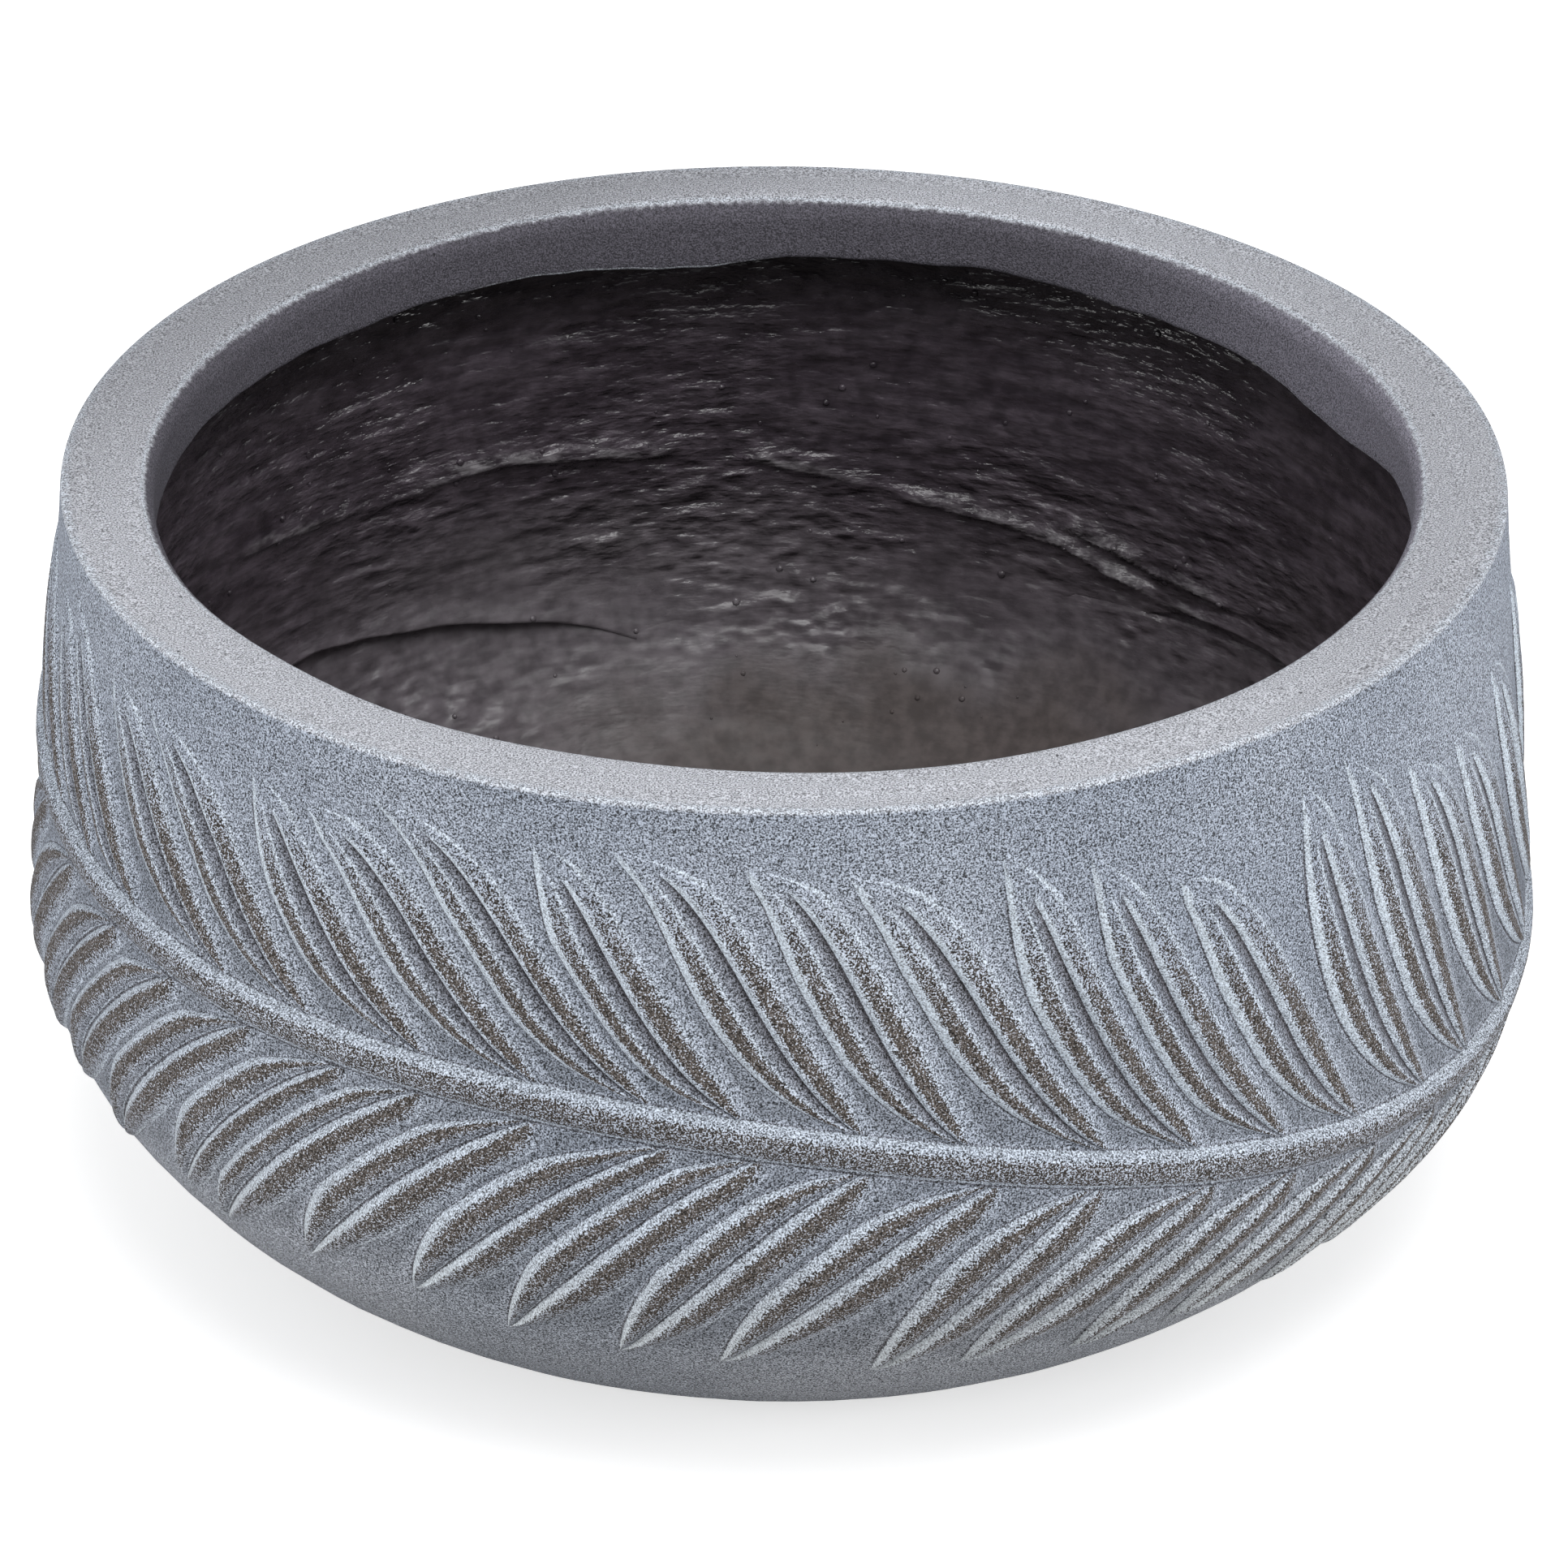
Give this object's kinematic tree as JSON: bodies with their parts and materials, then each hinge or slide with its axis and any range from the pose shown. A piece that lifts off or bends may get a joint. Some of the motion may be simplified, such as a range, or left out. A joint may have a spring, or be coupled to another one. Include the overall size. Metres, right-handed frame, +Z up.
{
  "type": "fibreclay planter bowl",
  "caption": "Low round planter bowl with a thick flat rim, a full belly and a leafy frond cast in relief round its grey outside; the rubber drain plug in its floor lifts out.",
  "frame": {"origin": "centre of the flat foot, on the surface that the planter stands on", "axes": "+Z up along the bowl's axis, -Y towards the side seen in the picture, +X to that side's right"},
  "size_m": [0.3505, 0.3498, 0.187],
  "materials": {
    "fibreclay": "matt, grainy, with brown rubbed into the relief",
    "fibre_resin": "brushed dark resin over glass fibre, satin",
    "plug_rubber": "matt moulded rubber"
  },
  "bodies": {
    "pot": {"face_coat": "fibreclay", "fibre_base": "fibre_resin", "fibre_wall": "fibre_resin", "rim_band": "fibreclay", "wall_ply": "fibre_resin"},
    "plug": {"drain_plug": "plug_rubber"}
  },
  "joints": [
    {"name": "plug_lift", "type": "slide", "parent": "pot", "child": "plug", "axis": [0, 0, 1], "range_m": [0, 0.06]}
  ]
}
